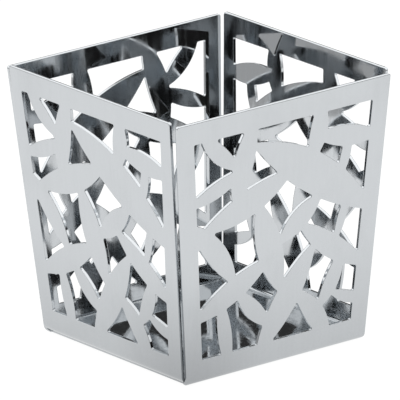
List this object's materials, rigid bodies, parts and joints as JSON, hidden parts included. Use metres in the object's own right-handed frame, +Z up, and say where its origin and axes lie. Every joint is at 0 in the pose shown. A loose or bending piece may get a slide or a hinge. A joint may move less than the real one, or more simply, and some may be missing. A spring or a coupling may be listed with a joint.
{
  "type": "napkin dispenser",
  "caption": "Square open-top napkin holder folded from crossed strips of polished sheet steel, with leaf-patterned openwork walls that flare towards the mouth.",
  "frame": {"origin": "middle of the underside, on the surface that the holder stands on", "axes": "+Z up through the open mouth; the lower strip has the walls that face -Y and +Y, the upper strip those that face -X and +X"},
  "size_m": [0.1, 0.1, 0.1022],
  "materials": {
    "polished_steel": "mirror-polished stainless sheet steel",
    "weld_steel": "fused stainless steel inside the floors"
  },
  "bodies": {
    "root": {"lower_strip": "polished_steel", "upper_strip": "polished_steel", "spot_welds": "weld_steel"}
  },
  "joints": []
}
